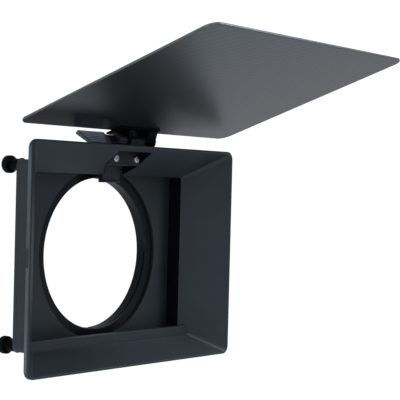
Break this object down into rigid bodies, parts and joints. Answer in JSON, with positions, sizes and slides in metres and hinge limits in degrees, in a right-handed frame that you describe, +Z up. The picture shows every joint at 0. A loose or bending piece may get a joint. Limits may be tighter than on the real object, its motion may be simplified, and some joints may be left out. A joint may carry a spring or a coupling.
{
  "type": "matte box lens hood",
  "caption": "Rectangular clamp-on lens hood with a tilting carbon-fibre top flag, a filter slot behind the funnel and a round split clamp for the lens front.",
  "frame": {"origin": "centre of the lens clamp's bore", "axes": "+Y along the bore towards the camera body, -Y towards the scene, +X to the right when looking along +Y, +Z up towards the flag"},
  "size_m": [0.1926, 0.1754, 0.1926],
  "materials": {
    "moulded_black": "fine-grained matte moulding",
    "anodised_black": "black anodised",
    "knob_black": "dead-matt black anodised",
    "hinge_black": "black anodised, fine blasted",
    "black_steel": "black oxide",
    "steel": "bright",
    "black_felt": "flocked felt",
    "brass_insert": "turned",
    "nylon": "smooth nylon",
    "lever_plastic": "dark grey satin moulding with rubbed ribs",
    "carbon_fibre": "satin carbon-fibre twill"
  },
  "bodies": {
    "hood": {"hood_shell": "moulded_black", "notch_seals": "black_felt", "hood_inserts": "brass_insert", "filter_stage": "moulded_black", "side_felt_left": "black_felt", "side_felt_right": "black_felt", "catch_pin": "steel", "rear_plate": "moulded_black", "plate_screws": "black_steel", "clamp_ring": "anodised_black", "ring_retainer": "anodised_black", "retainer_screws": "black_steel", "clamp_nut": "steel", "thumb_washers": "nylon", "hinge_base": "hinge_black", "base_screws": "steel", "friction_washer_left": "nylon", "friction_washer_right": "nylon"},
    "flag": {"carbon_flag": "carbon_fibre", "flag_foot": "knob_black", "flag_clamp_plate": "anodised_black", "flag_screws": "black_steel", "hinge_axle": "black_steel"},
    "lever": {"lock_lever": "lever_plastic", "lever_insert": "brass_insert", "lever_washer": "steel"},
    "catch": {"filter_catch": "moulded_black", "catch_spring": "steel"},
    "clamp_knob": {"clamp_screw": "anodised_black"},
    "thumb_left_low": {"thumbscrew_left_low": "knob_black"},
    "thumb_left_high": {"thumbscrew_left_high": "knob_black"},
    "thumb_right_low": {"thumbscrew_right_low": "knob_black"},
    "thumb_right_high": {"thumbscrew_right_high": "knob_black"}
  },
  "joints": [
    {"name": "flag_tilt", "type": "hinge", "parent": "hood", "child": "flag", "pos_m": [0, -0.0288, 0.0712], "axis": [-1, 0, 0], "range_deg": [-35, 50]},
    {"name": "lever_turn", "type": "hinge", "parent": "flag", "child": "lever", "pos_m": [0, -0.0288, 0.0712], "axis": [1, 0, 0], "range_deg": [0, 120]},
    {"name": "catch_swing", "type": "hinge", "parent": "hood", "child": "catch", "pos_m": [0, -0.0115, 0.0595], "axis": [-1, 0, 0], "range_deg": [0, 12], "stiffness_Nm_per_rad": 0.012, "springref_deg": -17.19},
    {"name": "clamp_turn", "type": "hinge", "parent": "hood", "child": "clamp_knob", "pos_m": [0, 0.0048, -0.0576], "axis": [1, 0, 0], "range_deg": [0, 360]},
    {"name": "thumb_left_low_turn", "type": "hinge", "parent": "hood", "child": "thumb_left_low", "pos_m": [-0.066, 0, -0.054], "axis": [0, 1, 0], "range_deg": [0, 360]},
    {"name": "thumb_left_high_turn", "type": "hinge", "parent": "hood", "child": "thumb_left_high", "pos_m": [-0.066, 0, 0.054], "axis": [0, 1, 0], "range_deg": [0, 360]},
    {"name": "thumb_right_low_turn", "type": "hinge", "parent": "hood", "child": "thumb_right_low", "pos_m": [0.066, 0, -0.054], "axis": [0, 1, 0], "range_deg": [0, 360]},
    {"name": "thumb_right_high_turn", "type": "hinge", "parent": "hood", "child": "thumb_right_high", "pos_m": [0.066, 0, 0.054], "axis": [0, 1, 0], "range_deg": [0, 360]}
  ]
}
